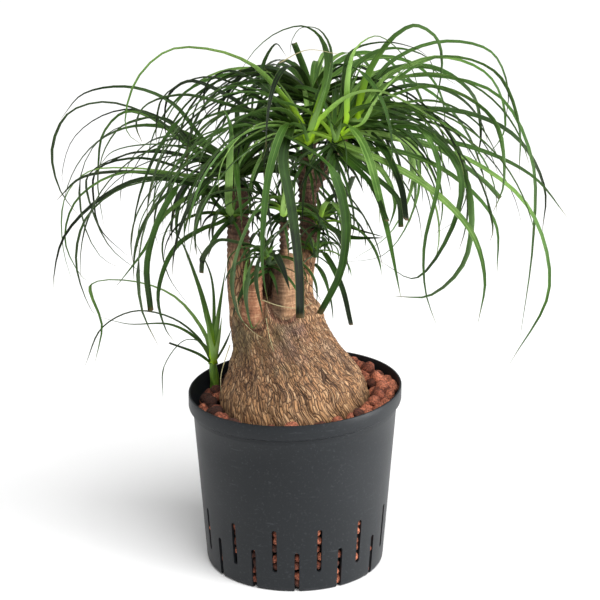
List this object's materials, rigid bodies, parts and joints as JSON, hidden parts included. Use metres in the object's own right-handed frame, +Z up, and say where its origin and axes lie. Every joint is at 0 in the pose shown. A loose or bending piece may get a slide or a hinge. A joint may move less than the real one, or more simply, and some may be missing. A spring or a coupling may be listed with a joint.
{
  "type": "potted ponytail palm",
  "caption": "Ponytail palm with a swollen corky trunk, arching heads of strap leaves and a young offset, bedded in clay granules in a slotted culture pot.",
  "frame": {"origin": "centre of the pot's flat underside, on the surface that it stands on", "axes": "+Z up along the pot's axis; -Y towards the front, with the two sawn stumps; +X to the right; the offset stands at -X"},
  "size_m": [0.5323, 0.4366, 0.5767],
  "materials": {
    "pot_plastic": "satin",
    "clay": "matte",
    "bark": "matte",
    "leaf": "satin",
    "young_leaf": "satin"
  },
  "bodies": {
    "root": {"pot": "pot_plastic", "clay_granules": "clay", "trunk": "bark", "head_left": "leaf", "head_centre": "leaf", "head_right": "leaf", "head_inner_right": "leaf", "head_back": "leaf", "shoot_left": "leaf", "shoot_middle": "young_leaf", "shoot_right": "young_leaf", "shoot_low_middle": "young_leaf", "shoot_low_right": "young_leaf", "offset_plant": "young_leaf"}
  },
  "joints": []
}
